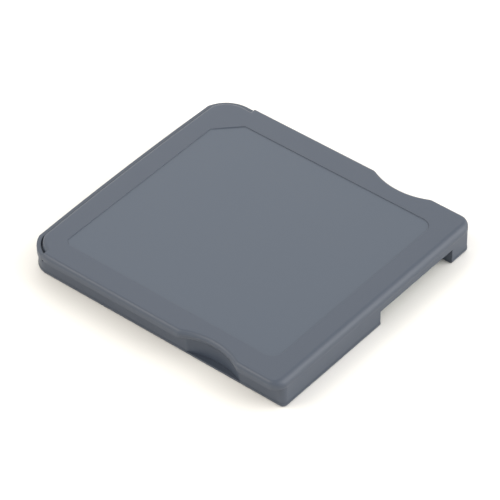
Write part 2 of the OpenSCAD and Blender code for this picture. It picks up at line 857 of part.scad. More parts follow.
module crystal_lid() {
    color(steel_colour)
        under_board(crystal_at)
            translate([-crystal_w / 2 + crystal_rim, -crystal_l / 2 + crystal_rim, crystal_h * 0.6])
                cube([crystal_w - 2 * crystal_rim, crystal_l - 2 * crystal_rim, crystal_h * 0.4]);
}

// A small block with a soldered end cap at each end
module block_middle(h) {
    m = passive_l * 0.5;
    translate([-m / 2, -passive_w / 2, 0]) cube([m, passive_w, h]);
}

module block_ends(h) {
    e = passive_l * 0.25;
    for (s = [-1, 1])
        translate([s * (passive_l - e) / 2 - e / 2, -passive_w / 2, 0]) cube([e, passive_w, h]);
}

module capacitor_bodies() {
    color(ceramic_colour)
        for (p = capacitor_places) under_board(p) rotate(p[2]) block_middle(capacitor_h);
}

module capacitor_ends() {
    color(tin_colour)
        for (p = capacitor_places) under_board(p) rotate(p[2]) block_ends(capacitor_h);
}

module resistor_bodies() {
    color(chip_colour)
        for (p = resistor_places) under_board(p) rotate(p[2]) block_middle(resistor_h);
}

module resistor_ends() {
    color(tin_colour)
        for (p = resistor_places) under_board(p) rotate(p[2]) block_ends(resistor_h);
}

front_shell();
rear_shell();
circuit_board();
edge_contacts();
test_pads();
socket_bed();
socket_cover();
socket_springs();
controller_body();
controller_leads();
save_memory_body();
save_memory_leads();
loader_memory_body();
loader_memory_pads();
regulator_body();
regulator_leads();
crystal_base();
crystal_lid();
capacitor_bodies();
capacitor_ends();
resistor_bodies();
resistor_ends();
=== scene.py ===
"""The looks of a flash cartridge for a handheld games machine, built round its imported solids."""
import math

import bmesh
import bpy
from bpy.props import FloatProperty, FloatVectorProperty, IntProperty, PointerProperty
from mathutils import Matrix, Vector


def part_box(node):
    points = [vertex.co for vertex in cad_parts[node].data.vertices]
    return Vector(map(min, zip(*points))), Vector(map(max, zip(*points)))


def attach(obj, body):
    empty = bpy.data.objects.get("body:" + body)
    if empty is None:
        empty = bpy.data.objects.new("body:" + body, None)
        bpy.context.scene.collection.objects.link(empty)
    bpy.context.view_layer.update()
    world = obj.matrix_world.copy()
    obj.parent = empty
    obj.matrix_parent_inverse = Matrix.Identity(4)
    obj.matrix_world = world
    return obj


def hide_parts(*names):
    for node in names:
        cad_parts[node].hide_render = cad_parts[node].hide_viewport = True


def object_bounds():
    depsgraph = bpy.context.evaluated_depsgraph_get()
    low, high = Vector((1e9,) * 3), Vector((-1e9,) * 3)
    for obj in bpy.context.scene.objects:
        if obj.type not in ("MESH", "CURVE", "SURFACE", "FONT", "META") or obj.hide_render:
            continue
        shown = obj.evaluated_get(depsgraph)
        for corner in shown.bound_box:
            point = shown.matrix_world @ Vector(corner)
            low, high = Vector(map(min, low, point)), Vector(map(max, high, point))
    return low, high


bl_info = {
    "name": "Flash Cartridge",
    "version": (1, 0, 0),
    "blender": (4, 5, 0),
    "location": "View3D > Sidebar > Cartridge",
    "description": "Moulded shells, circuit board, memory card socket and finishes "
                   "of a flash cartridge",
    "category": "Object",
}

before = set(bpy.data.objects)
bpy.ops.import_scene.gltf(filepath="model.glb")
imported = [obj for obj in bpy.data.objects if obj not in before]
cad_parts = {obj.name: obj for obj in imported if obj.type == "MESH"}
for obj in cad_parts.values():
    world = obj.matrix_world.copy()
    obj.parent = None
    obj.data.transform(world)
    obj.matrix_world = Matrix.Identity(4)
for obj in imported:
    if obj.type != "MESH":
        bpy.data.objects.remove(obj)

MM = 0.001
CAD_LOW, CAD_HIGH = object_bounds()
BOARD_LOW, BOARD_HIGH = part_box("circuit_board")

TOUCH = 1e-7  # heights closer than this are the same
HAIRLINE = 0.002 * MM  # slivers thinner than this are merged away
LEVEL = 0.99999  # a face whose normal is more upright than this is level


class CartridgeShells(bpy.types.PropertyGroup):
    """Sizes of the two moulded shells"""

    half_width: FloatProperty(
        name="Half width", description="From the middle to the flange's edge",
        default=CAD_HIGH.x, unit="LENGTH", precision=5)
    end_reach: FloatProperty(
        name="End reach", description="From the middle to either end",
        default=CAD_HIGH.y, unit="LENGTH", precision=5)
    thickness: FloatProperty(
        name="Thickness", description="Height of the front face",
        default=CAD_HIGH.z, unit="LENGTH", precision=5)
    flange: FloatProperty(
        name="Flange", description="Thickness of the front shell's flange",
        default=1.0 * MM, unit="LENGTH", precision=5)
    edge_fillet: FloatProperty(
        name="Edge fillet", description="Radius of the front shell's top edge",
        default=0.45 * MM, unit="LENGTH", precision=5)
    outer_fillet: FloatProperty(
        name="Outer fillet", description="Radius of the top edge along the outer end",
        default=0.8 * MM, unit="LENGTH", precision=5)
    contact_corner: FloatProperty(
        name="Contact corner", description="Corner radius in plan at the contact end",
        default=3.8 * MM, unit="LENGTH", precision=5)
    outer_corner: FloatProperty(
        name="Outer corner", description="Corner radius in plan at the outer end",
        default=1.5 * MM, unit="LENGTH", precision=5)
    rim_width: FloatProperty(
        name="Rim width", description="Width of the rim round the contact end",
        default=0.5 * MM, unit="LENGTH", precision=5)
    rim_gap: FloatProperty(
        name="Rim gap", description="Groove between the rim and the front shell",
        default=0.15 * MM, unit="LENGTH", precision=5)
    side_inset: FloatProperty(
        name="Right inset", description="How far the rear shell's right side stands back",
        default=0.95 * MM, unit="LENGTH", precision=5)
    left_inset: FloatProperty(
        name="Left inset", description="How far the rear shell's left side stands back",
        default=0.55 * MM, unit="LENGTH", precision=5)
    end_bow: FloatProperty(
        name="End bow", description="How far the contact end bows out between its corners",
        default=0.3 * MM, unit="LENGTH", precision=5)
    wall: FloatProperty(
        name="Wall", description="Thickness of the rear shell's walls",
        default=0.85 * MM, unit="LENGTH", precision=5)
    floor: FloatProperty(
        name="Floor", description="Thickness of the rear shell's floor",
        default=0.4 * MM, unit="LENGTH", precision=5)
    label_depth: FloatProperty(
        name="Label depth", description="Depth of the sunk label area",
        default=0.1 * MM, unit="LENGTH", precision=5)
    notch_depth: FloatProperty(
        name="Notch depth", description="Depth of the finger notches in the flange",
        default=0.95 * MM, unit="LENGTH", precision=5)
    notch_radius: FloatProperty(
        name="Notch radius", description="Radius of the finger notches' hollow",
        default=8.0 * MM, unit="LENGTH", precision=5)
    contacts: IntProperty(
        name="Contacts", description="Number of edge contacts and windows",
        default=17, min=1)


class CartridgeFinish(bpy.types.PropertyGroup):
    """Colours and surface of the materials"""

    shell_colour: FloatVectorProperty(
        name="Shell colour", description="Slate grey of the moulded shells",
        default=(0.050, 0.063, 0.087), size=3, subtype="COLOR", min=0, max=1)
    label_colour: FloatVectorProperty(
        name="Label area colour", description="Slate grey of the smoother label area",
        default=(0.055, 0.071, 0.097), size=3, subtype="COLOR", min=0, max=1)
    shell_roughness: FloatProperty(
        name="Shell roughness", description="How matt the moulded shells are",
        default=0.43, min=0, max=1, subtype="FACTOR")
    grain_size: FloatProperty(
        name="Grain size", description="Size of the mould's fine grain",
        default=0.09 * MM, unit="LENGTH", precision=6)
    grain_depth: FloatProperty(
        name="Grain depth", description="Depth of the mould's fine grain",
        default=0.0022 * MM, unit="LENGTH", precision=7)
    board_colour: FloatVectorProperty(
        name="Board colour", description="Green coat of the circuit board",
        default=(0.010, 0.075, 0.035), size=3, subtype="COLOR", min=0, max=1)
    gold_colour: FloatVectorProperty(
        name="Gold colour", description="Gold plating of the contacts",
        default=(0.80, 0.56, 0.20), size=3, subtype="COLOR", min=0, max=1)


class CartridgeStage(bpy.types.PropertyGroup):
    """Camera and light"""

    azimuth: FloatProperty(
        name="Azimuth", description="Camera's turn round the card",
        default=math.radians(129.782), subtype="ANGLE")
    elevation: FloatProperty(
        name="Elevation", description="Camera's height above the floor",
        default=math.radians(41.663), subtype="ANGLE")
    roll: FloatProperty(
        name="Roll", description="Camera's turn about its line of sight",
        default=math.radians(-0.563), subtype="ANGLE")
    distance: FloatProperty(
        name="Distance", description="From the camera to the card's middle",
        default=362.33 * MM, unit="LENGTH")
    lens: FloatProperty(
        name="Lens", description="Focal length on a sensor 36 mm wide",
        default=245.17, unit="CAMERA")
    key_power: FloatProperty(
        name="Key power", description="Power of the large soft light", default=0.4, unit="POWER")
    near_power: FloatProperty(
        name="Near power", description="Power of the light that the near edge reflects",
        default=1.5, unit="POWER")
    outer_power: FloatProperty(
        name="Outer power", description="Power of the light that the outer end's edge reflects",
        default=2.2, unit="POWER")
    far_power: FloatProperty(
        name="Far power", description="Power of the light that the front face reflects",
        default=0.05, unit="POWER")
    zenith: FloatProperty(
        name="Zenith", description="Strength of the light from straight above", default=0.86, min=0)
    horizon: FloatProperty(
        name="Horizon", description="Strength of the light from the sides", default=1.3, min=0)


# Drawing outlines


class Trace:
    """A line of edges in the XY plane, drawn by moving and swinging its tip.

    With side = -1 it is drawn as in a mirror, on the other side of the plane x = 0."""

    def __init__(self, x, y, z=0.0, side=1):
        self.mesh = bmesh.new()
        self.z = z
        self.side = side
        self.tip = self.mesh.verts.new((side * x, y, z))
        self.first = self.tip

    def line(self, x, y):
        """Moves the tip straight to a point."""
        end = self.mesh.verts.new((self.side * x, y, self.z))
        self.mesh.edges.new((self.tip, end))
        self.tip = end

    def arc(self, x, y, angle, steps):
        """Swings the tip by an angle round the centre x, y."""
        swung = bmesh.ops.spin(
            self.mesh, geom=[self.tip], cent=(self.side * x, y, self.z), axis=(0, 0, 1),
            angle=self.side * angle, steps=steps, use_duplicate=False)
        self.tip = next(g for g in swung["geom_last"] if isinstance(g, bmesh.types.BMVert))

    def joined(self, other):
        """Takes in another line that meets this one at both ends, and fills the outline."""
        take_in(self.mesh, other.mesh)
        return self.filled()

    def closed(self):
        """Joins the tip to the first point and fills the outline with one face."""
        self.mesh.edges.new((self.tip, self.first))
        return self.filled()

    def filled(self):
        """Merges the points that meet, and fills the outline with one face."""
        bmesh.ops.remove_doubles(self.mesh, verts=self.mesh.verts[:], dist=TOUCH)
        bmesh.ops.edgeloop_fill(self.mesh, edges=self.mesh.edges[:])
        return self.mesh


def take_in(mesh, other):
    """Moves another mesh's faces and edges into this one."""
    data = bpy.data.meshes.new("taken in")
    other.to_mesh(data)
    other.free()
    mesh.from_mesh(data)
    bpy.data.meshes.remove(data)


def both_sides(draw, *values):
    """Fills the outline that a drawing function makes on the right and on the left."""
    return draw(*values, 1).joined(draw(*values, -1))


def raise_faces(mesh, faces, height):
    """Extrudes faces straight up by a height, and returns the raised ones."""
    on_solid = any(len(e.link_faces) > 1 for f in faces for e in f.edges)
    made = bmesh.ops.extrude_face_region(mesh, geom=faces)["geom"]
    if on_solid:
        bmesh.ops.delete(mesh, geom=faces, context="FACES_ONLY")
    points = [g for g in made if isinstance(g, bmesh.types.BMVert)]
    bmesh.ops.translate(mesh, verts=points, vec=(0, 0, height))
    return [g for g in made if isinstance(g, bmesh.types.BMFace)]


def prism(mesh, height):
    """Makes a filled outline a closed solid."""
    raise_faces(mesh, mesh.faces[:], height)
    close_up(mesh)
    return mesh


def close_up(mesh):
    """Turns every face of a closed solid outwards."""
    bmesh.ops.recalc_face_normals(mesh, faces=mesh.faces[:])


def edges_at(mesh, z, keep=lambda edge: True):
    """The edges that lie at one height."""
    level = [e for e in mesh.edges if all(abs(v.co.z - z) < TOUCH for v in e.verts)]
    return [e for e in level if keep(e)]


def border(edge):
    """True for an edge that has a wall on one side and a flat face on the other."""
    if len(edge.link_faces) != 2:
        return True
    return edge.calc_face_angle(0.0) > math.radians(20)


def round_edges(mesh, edges, radius, segments):
    """Gives edges a fillet."""
    bmesh.ops.bevel(
        mesh, geom=edges, offset=radius, offset_type="OFFSET", segments=segments, profile=0.5,
        affect="EDGES", clamp_overlap=False, loop_slide=False, material=-1)


def block(low, high):
    """A rectangular solid between two corners."""
    mesh = bmesh.new()
    low, high = Vector(low), Vector(high)
    bmesh.ops.create_cube(mesh, size=1)
    bmesh.ops.scale(mesh, verts=mesh.verts[:], vec=high - low)
    bmesh.ops.translate(mesh, verts=mesh.verts[:], vec=(low + high) / 2)
    return mesh


def rod(x, y, low, high, radius, segments=48):
    """A round solid that stands on a height."""
    mesh = bmesh.new()
    bmesh.ops.create_cone(
        mesh, cap_ends=True, cap_tris=False, segments=segments, radius1=radius, radius2=radius,
        depth=high - low)
    bmesh.ops.translate(mesh, verts=mesh.verts[:], vec=(x, y, (low + high) / 2))
    return mesh


# Making objects


def to_object(mesh, name):
    """Makes a finished mesh an object at the origin."""
    data = bpy.data.meshes.new(name)
    mesh.to_mesh(data)
    mesh.free()
    obj = bpy.data.objects.new(name, data)
    bpy.context.scene.collection.objects.link(obj)
    return obj


def combine(obj, mesh, operation):
    """Cuts a solid away from an object, or joins it on."""
    tool = to_object(mesh, "tool")
    modifier = obj.modifiers.new("Combine", "BOOLEAN")
    modifier.operation = operation
    modifier.solver = "EXACT"
    modifier.object = tool
    graph = bpy.context.evaluated_depsgraph_get()
    made = bpy.data.meshes.new_from_object(obj.evaluated_get(graph))
    obj.modifiers.remove(modifier)
    old = obj.data
    obj.data = made
    made.name = obj.name
    bpy.data.meshes.remove(old)
    tool_mesh = tool.data
    bpy.data.objects.remove(tool)
    bpy.data.meshes.remove(tool_mesh)


def cut(obj, mesh):
    """Cuts a solid away."""
    combine(obj, mesh, "DIFFERENCE")


def add(obj, mesh):
    """Joins a solid on."""
    combine(obj, mesh, "UNION")


def clean(obj):
    """Merges the hairline slivers that cutting flush faces leaves."""
    mesh = bmesh.new()
    mesh.from_mesh(obj.data)
    bmesh.ops.remove_doubles(mesh, verts=mesh.verts[:], dist=HAIRLINE)
    bmesh.ops.dissolve_degenerate(mesh, edges=mesh.edges[:], dist=HAIRLINE)
    stray = [f for f in mesh.faces if f.calc_area() < HAIRLINE ** 2]
    bmesh.ops.delete(mesh, geom=stray, context="FACES")
    gaps = [e for e in mesh.edges if e.is_boundary]
    bmesh.ops.holes_fill(mesh, edges=gaps)
    mesh.to_mesh(obj.data)
    mesh.free()


def shade(obj, sharp=math.radians(32)):
    """Smooth shading with crisp corners, and flat faces kept flat."""
    for face in obj.data.polygons:
        face.use_smooth = abs(face.normal.z) < LEVEL
    obj.data.set_sharp_from_angle(angle=sharp)
    normals = obj.modifiers.new("Weighted normals", "WEIGHTED_NORMAL")
    normals.keep_sharp = True
    normals.weight = 80


def seat(obj, slot, *nodes):
    """Ties a finished piece to the card and hides the solids it stands for."""
    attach(obj, "root")
    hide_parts(*nodes)


# Materials


MOTTLE_SIZE = 2.4 * MM
WAVES_PER_PITCH = 0.32
TRACK_EDGE = 0.55, 0.68
TRACK_HEIGHT = 0.02 * MM


def new_material(name):
    """A material and its surface shader."""
    material = bpy.data.materials.new(name)
    material.use_nodes = True
    return material, material.node_tree.nodes["Principled BSDF"]


def node(tree, kind, **values):
    """A shader node with its properties set."""
    made = tree.nodes.new(kind)
    for key, value in values.items():
        setattr(made, key, value)
    return made


def group_tree(name, inputs, outputs):
    """An empty node group with named sockets. Inputs are (name, kind, default)."""
    tree = bpy.data.node_groups.new(name, "ShaderNodeTree")
    for label, kind, default in inputs:
        socket = tree.interface.new_socket(name=label, in_out="INPUT", socket_type=kind)
        socket.default_value = default
    for label, kind in outputs:
        tree.interface.new_socket(name=label, in_out="OUTPUT", socket_type=kind)
    return tree, tree.nodes.new("NodeGroupInput"), tree.nodes.new("NodeGroupOutput")


def mould_grain_group():
    """Fine grain that a spark-eroded mould leaves on plastic: a height and a mask."""
    tree, start, end = group_tree(
        "Mould grain",
        [("Grain size", "NodeSocketFloat", 0.0001), ("Mottle size", "NodeSocketFloat", 0.002)],
        [("Height", "NodeSocketFloat"), ("Mottle", "NodeSocketFloat")])
    link = tree.links.new
    place = node(tree, "ShaderNodeTexCoord")
    fine_scale = node(tree, "ShaderNodeMath", operation="DIVIDE")
    fine_scale.inputs[0].default_value = 1.0
    link(start.outputs["Grain size"], fine_scale.inputs[1])
    fine = node(tree, "ShaderNodeTexNoise", noise_dimensions="3D")
    fine.inputs["Detail"].default_value = 3.0
    fine.inputs["Roughness"].default_value = 0.6
    link(place.outputs["Object"], fine.inputs["Vector"])
    link(fine_scale.outputs[0], fine.inputs["Scale"])
    link(fine.outputs["Fac"], end.inputs["Height"])
    broad_scale = node(tree, "ShaderNodeMath", operation="DIVIDE")
    broad_scale.inputs[0].default_value = 1.0
    link(start.outputs["Mottle size"], broad_scale.inputs[1])
    broad = node(tree, "ShaderNodeTexNoise", noise_dimensions="3D")
    broad.inputs["Detail"].default_value = 4.0
    link(place.outputs["Object"], broad.inputs["Vector"])
    link(broad_scale.outputs[0], broad.inputs["Scale"])
    link(broad.outputs["Fac"], end.inputs["Mottle"])
    return tree


def tone_group():
    """A base colour that drifts a little lighter and darker with a mask."""
    tree, start, end = group_tree(
        "Tone drift",
        [("Colour", "NodeSocketColor", (0.5, 0.5, 0.5, 1)), ("Mask", "NodeSocketFloat", 0.5),
         ("Amount", "NodeSocketFloat", 0.1)],
        [("Colour", "NodeSocketColor")])
    link = tree.links.new
    centred = node(tree, "ShaderNodeMath", operation="SUBTRACT")
    centred.inputs[1].default_value = 0.5
    link(start.outputs["Mask"], centred.inputs[0])
    amount = node(tree, "ShaderNodeMath", operation="MULTIPLY_ADD")
    amount.inputs[2].default_value = 1.0
    link(centred.outputs[0], amount.inputs[0])
    link(start.outputs["Amount"], amount.inputs[1])
    tinted = node(tree, "ShaderNodeVectorMath", operation="SCALE")
    link(start.outputs["Colour"], tinted.inputs[0])
    link(amount.outputs[0], tinted.inputs["Scale"])
    link(tinted.outputs[0], end.inputs["Colour"])
    return tree


def tracks_group():
    """Copper tracks under a board's coat: patches of fine lines that run along or across."""
    tree, start, end = group_tree(
        "Board tracks",
        [("Pitch", "NodeSocketFloat", 0.0005), ("Patch", "NodeSocketFloat", 0.003),
         ("Colour", "NodeSocketColor", (0, 0.1, 0.05, 1)),
         ("Track colour", "NodeSocketColor", (0, 0.2, 0.1, 1))],
        [("Colour", "NodeSocketColor"), ("Height", "NodeSocketFloat")])
    link = tree.links.new
    place = node(tree, "ShaderNodeTexCoord")
    scales = {}
    for label in ("Pitch", "Patch"):
        scales[label] = node(tree, "ShaderNodeMath", operation="DIVIDE")
        scales[label].inputs[0].default_value = 1.0
        link(start.outputs[label], scales[label].inputs[1])
    patches = node(tree, "ShaderNodeTexChecker")
    link(place.outputs["Object"], patches.inputs["Vector"])
    link(scales["Patch"].outputs[0], patches.inputs["Scale"])
    lines = []
    for axis in ("X", "Y"):
        stripes = node(tree, "ShaderNodeTexWave", bands_direction=axis, wave_profile="TRI")
        link(place.outputs["Object"], stripes.inputs["Vector"])
        fitted = node(tree, "ShaderNodeMath", operation="MULTIPLY")
        fitted.inputs[1].default_value = WAVES_PER_PITCH
        link(scales["Pitch"].outputs[0], fitted.inputs[0])
        link(fitted.outputs[0], stripes.inputs["Scale"])
        lines.append(stripes.outputs["Fac"])
    chosen = node(tree, "ShaderNodeMix", data_type="FLOAT")
    link(patches.outputs["Fac"], chosen.inputs["Factor"])
    link(lines[0], chosen.inputs["A"])
    link(lines[1], chosen.inputs["B"])
    copper = node(tree, "ShaderNodeMapRange", interpolation_type="SMOOTHSTEP")
    copper.inputs["From Min"].default_value = TRACK_EDGE[0]
    copper.inputs["From Max"].default_value = TRACK_EDGE[1]
    link(chosen.outputs["Result"], copper.inputs["Value"])
    mixed = node(tree, "ShaderNodeMix", data_type="RGBA")
    factor, low, high = (socket for socket in mixed.inputs
                         if socket.enabled and socket.name in ("Factor", "A", "B"))
    link(copper.outputs["Result"], factor)
    link(start.outputs["Colour"], low)
    link(start.outputs["Track colour"], high)
    link(next(out for out in mixed.outputs if out.enabled), end.inputs["Colour"])
    link(copper.outputs["Result"], end.inputs["Height"])
    return tree


def board_coat(finish, groups):
    """Glossy green coat over copper tracks that stand up a little."""
    colour = tuple(finish.board_colour)
    material = plastic("Board coat", colour, 0.28, 0.2 * MM, 0.002 * MM, groups, 0.15)
    surface = material.node_tree.nodes["Principled BSDF"]
    lighter = tuple(1.9 * part for part in colour)
    tracks = place_group(material, groups["tracks"], Pitch=0.5 * MM, Patch=3.1 * MM,
                         Colour=(*colour, 1), Track_colour=(*lighter, 1))
    material.node_tree.links.new(tracks.outputs["Colour"], surface.inputs["Base Color"])
    bump = node(material.node_tree, "ShaderNodeBump")
    bump.inputs["Distance"].default_value = TRACK_HEIGHT
    material.node_tree.links.new(tracks.outputs["Height"], bump.inputs["Height"])
    material.node_tree.links.new(bump.outputs["Normal"], surface.inputs["Normal"])
    return material


def place_group(material, tree, **values):
    """Puts a node group into a material and sets its inputs."""
    made = node(material.node_tree, "ShaderNodeGroup", node_tree=tree)
    for label, value in values.items():
        made.inputs[label.replace("_", " ")].default_value = value
    return made


def plastic(name, colour, roughness, grain_size, grain_depth, groups,
            drift=0.06, gloss_drift=0.06):
    """Moulded plastic: drifting tone, fine grain and slightly uneven gloss."""
    material, surface = new_material(name)
    tree = material.node_tree
    link = tree.links.new
    grain = place_group(material, groups["grain"], Grain_size=grain_size, Mottle_size=MOTTLE_SIZE)
    tone = place_group(material, groups["tone"], Colour=(*colour, 1), Amount=drift)
    link(grain.outputs["Mottle"], tone.inputs["Mask"])
    link(tone.outputs["Colour"], surface.inputs["Base Color"])
    gloss = node(tree, "ShaderNodeMapRange")
    gloss.inputs["From Min"].default_value = 0.25
    gloss.inputs["From Max"].default_value = 0.75
    gloss.inputs["To Min"].default_value = roughness - gloss_drift / 2
    gloss.inputs["To Max"].default_value = roughness + gloss_drift / 2
    link(grain.outputs["Mottle"], gloss.inputs["Value"])
    link(gloss.outputs["Result"], surface.inputs["Roughness"])
    bump = node(tree, "ShaderNodeBump")
    bump.inputs["Strength"].default_value = 1.0
    bump.inputs["Distance"].default_value = grain_depth
    link(grain.outputs["Height"], bump.inputs["Height"])
    link(bump.outputs["Normal"], surface.inputs["Normal"])
    return material


def metal(name, colour, roughness, groups, grain_size=0.05 * MM, grain_depth=0.0006 * MM):
    """Plated or rolled metal with a little tone and gloss variation."""
    material = plastic(name, colour, roughness, grain_size, grain_depth, groups, 0.10, 0.12)
    material.node_tree.nodes["Principled BSDF"].inputs["Metallic"].default_value = 1.0
    return material


class CARTRIDGE_OT_finishes(bpy.types.Operator):
    """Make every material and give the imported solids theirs"""

    bl_idname = "cartridge.finishes"
    bl_label = "Finishes"

    def execute(self, context):
        finish = context.scene.cartridge_finish
        groups = {"grain": mould_grain_group(), "tone": tone_group(), "tracks": tracks_group()}
        shell = tuple(finish.shell_colour)
        made = {
            "shell": plastic("Slate plastic", shell, finish.shell_roughness,
                             finish.grain_size, finish.grain_depth, groups),
            "label": plastic("Slate plastic, label area", tuple(finish.label_colour),
                             finish.shell_roughness - 0.06, finish.grain_size,
                             finish.grain_depth * 0.6, groups),
            "board": board_coat(finish, groups),
            "gold": metal("Gold plating", tuple(finish.gold_colour), 0.24, groups),
            "bed": plastic("Black bed plastic", (0.012, 0.012, 0.014), 0.5,
                           0.08 * MM, 0.003 * MM, groups),
            "steel": metal("Rolled steel", (0.55, 0.56, 0.57), 0.32, groups),
            "lid": metal("Crystal lid", (0.62, 0.60, 0.56), 0.30, groups),
            "resin": plastic("Chip resin", (0.018, 0.018, 0.020), 0.62,
                             0.05 * MM, 0.004 * MM, groups, 0.2),
            "tin": metal("Tinned leads", (0.60, 0.61, 0.62), 0.36, groups),
            "ceramic": plastic("Capacitor ceramic", (0.26, 0.15, 0.075), 0.55,
                               0.04 * MM, 0.002 * MM, groups, 0.25),
            "base": plastic("Crystal ceramic", (0.10, 0.075, 0.055), 0.6,
                            0.04 * MM, 0.002 * MM, groups, 0.2),
            "glaze": plastic("Resistor glaze", (0.012, 0.012, 0.014), 0.25,
                             0.06 * MM, 0.001 * MM, groups),
        }
        worn_by = {
            "shell": ["front_shell", "rear_shell"], "board": ["circuit_board"],
            "gold": ["edge_contacts", "test_pads", "socket_springs"], "bed": ["socket_bed"],
            "steel": ["socket_cover"], "lid": ["crystal_lid"],
            "resin": ["controller_body", "save_memory_body",
                      "loader_memory_body", "regulator_body"],
            "tin": ["controller_leads", "save_memory_leads", "loader_memory_pads",
                    "regulator_leads", "capacitor_ends", "resistor_ends"],
            "ceramic": ["capacitor_bodies"], "base": ["crystal_base"], "glaze": ["resistor_bodies"],
        }
        for kind, names in worn_by.items():
            for name in names:
                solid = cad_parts[name]
                solid.data.materials.clear()
                solid.data.materials.append(made[kind])
        FINISHES.update(made)
        return {"FINISHED"}


FINISHES = {}


# The two shells


RIGHT = math.radians(90)

# Between the shells, and how far a cutter reaches past the face that it opens
FIT = 0.05 * MM
STEP_GAP = 0.02 * MM
PAST = 0.3 * MM

# The rim round the contact end
RIM_RIGHT = 2.65 * MM
RIM_LEFT = 4.8 * MM
RIM_DROP = 0.5 * MM
RIM_LEDGE = 0.3 * MM
RIM_ROUND = 0.1 * MM

# The finger notches
SHOULDER = 1.2 * MM
NOTCH_FROM_END = 9.45 * MM
NOTCH_SLOPE = 0.25 * MM
NOTCH_UNDERCUT = 0.8 * MM
NOTCH_WALL = 0.5 * MM

# The label area, measured in from the card's edges
LABEL_LEFT = 3.2 * MM
LABEL_RIGHT = 2.95 * MM
LABEL_CONTACT = 3.4 * MM
LABEL_OUTER = 2.9 * MM
LABEL_BEVEL = 2.7 * MM
LABEL_NICK = 0.6 * MM
LABEL_CORNER = 1.4 * MM
LABEL_FILLET = 0.04 * MM
ARRIS = 0.05 * MM

# The room in the front shell, with its lip
ROOF_WALL = 0.55 * MM
LIP_WIDTH = 0.6 * MM

# The pins and their bosses
PIN = 1.2 * MM
PIN_TIP_GAP = 0.2 * MM
PIN_TIP_ROUND = 0.12 * MM
PIN_FROM_SIDE = 2.0 * MM
PIN_FROM_CONTACT = 7.2 * MM
PIN_FROM_OUTER = 2.1 * MM
BOSS_WALL = 0.6 * MM

# The rear shell's body, foot and shelves
CONTACT_INSET = 0.08 * MM
OUTER_INSET = 0.08 * MM
BODY_CORNER = 2.3 * MM
BODY_OUTER_CORNER = 0.6 * MM
FOOT_HEIGHT = 0.5 * MM
FOOT_OUT = 0.03 * MM
FOOT_ROUND = 0.30 * MM
SHELF = 0.7 * MM
ROOM_HEIGHT = 1.6 * MM

# The contact windows
CONTACT_PITCH = 1.5 * MM
CONTACT_LENGTH = 4.4 * MM
BOARD_GAP = 0.1 * MM
WINDOW_WIDTH = 1.1 * MM
WINDOW_FLARE = 0.07 * MM
WINDOW_STRETCH = 1.03

# The memory card opening
SLOT_SIDE = 3.05 * MM
SLOT_WIDTH = 12.45 * MM
SLOT_HEIGHT = 2.0 * MM
SLOT_DEPTH = 3.1 * MM

# Steps in which the arcs are drawn
BOW_STEPS = 8
CORNER_STEPS = 14
ROUND_STEPS = 10


def bow_measures(s):
    """Radius of the contact end's gentle bow, and how far up its centre lies."""
    radius = (s.half_width ** 2 + s.end_bow ** 2) / (2 * s.end_bow)
    return radius, radius - s.end_reach


def bow_meets(s, centre, radius, inset):
    """Angle up from a corner's lowest point to where the bow, drawn in by inset, crosses it."""
    bow, bow_y = bow_measures(s)
    x, y = centre
    across = 2 * x * radius
    along = 2 * (bow_y - y) * radius
    rest = (bow - inset) ** 2 - x ** 2 - radius ** 2 - (bow_y - y) ** 2
    return math.atan2(across, along) + math.acos(rest / math.hypot(across, along))


def bow_swing(s, centre, radius, start):
    """Angle at the bow's centre from the middle of the end to a point on a corner."""
    x = centre[0] + radius * math.sin(start)
    y = centre[1] - radius * math.cos(start)
    return math.atan2(x, bow_measures(s)[1] - y)


def trace_end(s, centre, radius, inset, turn, z, side):
    """Draws from the middle of the bowed contact end to an angle round the corner."""
    bow, bow_y = bow_measures(s)
    start = bow_meets(s, centre, radius, inset)
    line = Trace(0, bow_y - bow + inset, z, side)
    line.arc(0, bow_y, bow_swing(s, centre, radius, start), BOW_STEPS)
    line.arc(*centre, turn - start, CORNER_STEPS)
    return line


def corner_centre(s):
    """The middle of the right corner's round at the contact end."""
    return s.half_width - s.contact_corner, -s.end_reach + s.contact_corner


def rim_reach(s, side):
    """Where the rim ends: round the right corner, and past the corner on the left side."""
    return -s.end_reach + (RIM_RIGHT if side > 0 else RIM_LEFT)


def turn_to(height, centre, radius):
    """Angle up from a corner's lowest point to a height in plan, at most a right angle."""
    return math.acos((centre[1] - height) / radius) if height < centre[1] else RIGHT


def front_outline(s, z, side):
    """One half of the front shell's edge, from the contact end to the outer end."""
    rim = s.rim_width + s.rim_gap
    centre = corner_centre(s)
    step = rim_reach(s, side) + STEP_GAP
    inner = s.contact_corner - rim
    line = trace_end(s, centre, inner, rim, turn_to(step, centre, inner), z, side)
    turn = turn_to(step, centre, s.contact_corner)
    if turn < RIGHT:
        line.line(centre[0] + s.contact_corner * math.sin(turn), step)
        line.arc(*centre, RIGHT - turn, 2)
    else:
        line.line(s.half_width - rim, step)
        line.line(s.half_width, step)
    trace_notch(line, s, notch_measures(s))
    cy = s.end_reach - s.outer_corner
    line.line(s.half_width, cy)
    line.arc(s.half_width - s.outer_corner, cy, RIGHT, 12)
    line.line(0, s.end_reach)
    return line


def notch_measures(s):
    """Centre of a finger notch's hollow, half its length and half its angle."""
    centre = s.half_width + s.notch_radius - s.notch_depth
    swing = s.notch_radius + SHOULDER
    rise = math.sqrt(swing ** 2 - (centre - s.half_width + SHOULDER) ** 2)
    return centre, s.end_reach - NOTCH_FROM_END, rise, math.asin(rise / swing)


def trace_notch(line, s, notch):
    """Draws one shoulder, the hollow and the other shoulder."""
    centre, y, rise, angle = notch
    line.line(s.half_width, y - rise)
    line.arc(s.half_width - SHOULDER, y - rise, angle, 6)
    line.arc(centre, y, -2 * angle, 20)
    line.arc(s.half_width - SHOULDER, y + rise, angle, 6)


